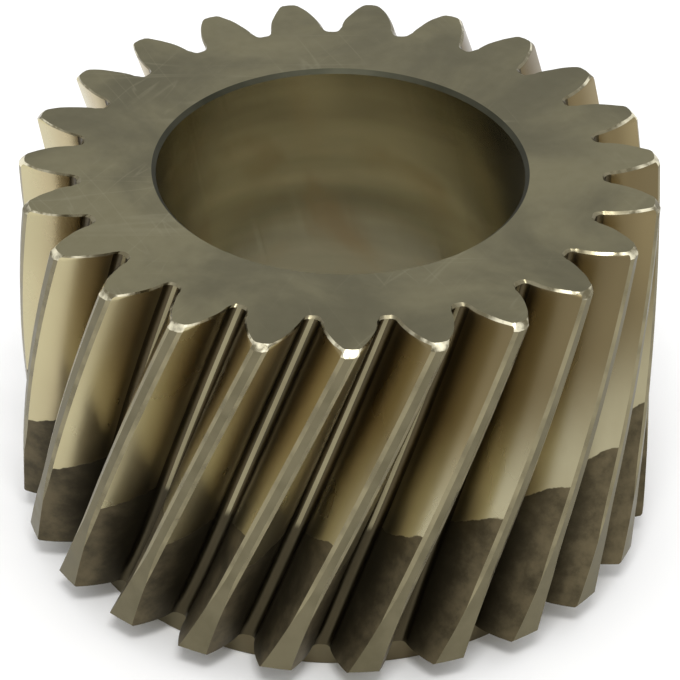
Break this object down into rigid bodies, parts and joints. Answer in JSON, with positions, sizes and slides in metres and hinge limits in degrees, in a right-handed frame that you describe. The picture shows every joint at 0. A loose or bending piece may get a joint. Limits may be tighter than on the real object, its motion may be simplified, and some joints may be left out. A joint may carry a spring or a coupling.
{
  "type": "helical gear",
  "caption": "Single-helical steel gear with a plain ground bore, wide face and a short hub, its teeth running out shallow at the hub end.",
  "frame": {"origin": "centre of the bore at the hub's free face, which is the underside the gear stands on", "axes": "+Z along the bore axis, from the hub towards the full tooth ends"},
  "size_m": [0.1064, 0.1064, 0.069],
  "materials": {
    "steel": "oiled, ground flanks"
  },
  "bodies": {
    "root": {"helical_gear": "steel"}
  },
  "joints": []
}
